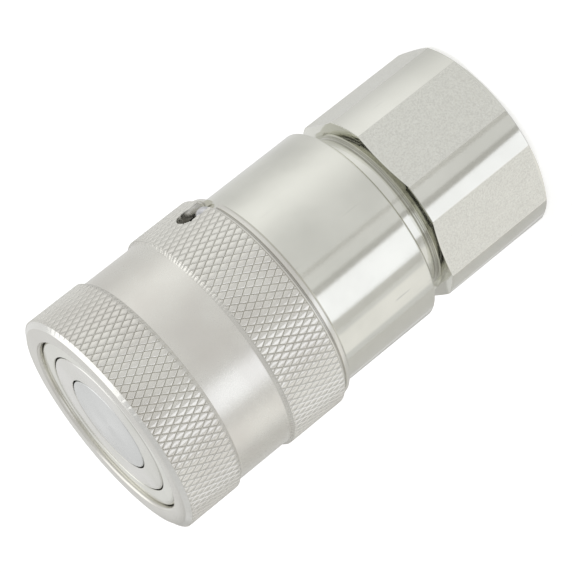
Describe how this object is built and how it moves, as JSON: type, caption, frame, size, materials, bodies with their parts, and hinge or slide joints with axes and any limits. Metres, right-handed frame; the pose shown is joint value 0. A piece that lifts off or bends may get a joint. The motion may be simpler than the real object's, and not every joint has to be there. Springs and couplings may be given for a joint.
{
  "type": "flat face quick coupler",
  "caption": "Female half of a hydraulic flat face quick coupler, with a sliding locking sleeve, a sprung flat valve face and a hexagon adapter with a female pipe thread.",
  "frame": {"origin": "centre of the adapter's rear face, which the coupler stands on", "axes": "+Z along the coupler's axis towards the flat coupling face; +X towards the ball that keys the locking sleeve"},
  "size_m": [0.0381, 0.038, 0.0745],
  "materials": {
    "plated_steel": "satin",
    "bearing_steel": "polished",
    "spring_steel": "satin",
    "seal_rubber": "matte",
    "seal_plastic": "satin"
  },
  "bodies": {
    "coupler_body": {"adapter": "plated_steel", "body": "plated_steel", "lock_ball": "bearing_steel", "retaining_ring": "spring_steel", "flow_spider": "plated_steel", "stem": "plated_steel", "stem_washer": "plated_steel", "stem_nut": "plated_steel", "stem_seal": "seal_plastic", "nose_o_ring": "seal_rubber", "nose_backup_ring": "seal_plastic", "adapter_o_ring": "seal_rubber", "adapter_backup_ring": "seal_plastic", "sleeve_spring": "spring_steel", "valve_spring": "spring_steel", "locking_ball_01": "bearing_steel", "locking_ball_02": "bearing_steel", "locking_ball_03": "bearing_steel", "locking_ball_04": "bearing_steel", "locking_ball_05": "bearing_steel", "locking_ball_06": "bearing_steel", "locking_ball_07": "bearing_steel", "locking_ball_08": "bearing_steel", "locking_ball_09": "bearing_steel", "locking_ball_10": "bearing_steel", "locking_ball_11": "bearing_steel", "locking_ball_12": "bearing_steel"},
    "sleeve_assembly": {"locking_sleeve": "plated_steel", "sleeve_washer": "plated_steel"},
    "valve": {"valve_sleeve": "plated_steel"}
  },
  "joints": [
    {"name": "sleeve_slide", "type": "slide", "parent": "coupler_body", "child": "sleeve_assembly", "axis": [0, 0, 1], "range_m": [-0.0023, 0], "stiffness_N_per_m": 4000, "springref_m": 0.006, "deforming": ["sleeve_spring"]},
    {"name": "valve_slide", "type": "slide", "parent": "coupler_body", "child": "valve", "axis": [0, 0, 1], "range_m": [-0.011, 0], "stiffness_N_per_m": 3000, "springref_m": 0.015, "deforming": ["valve_spring"]}
  ]
}
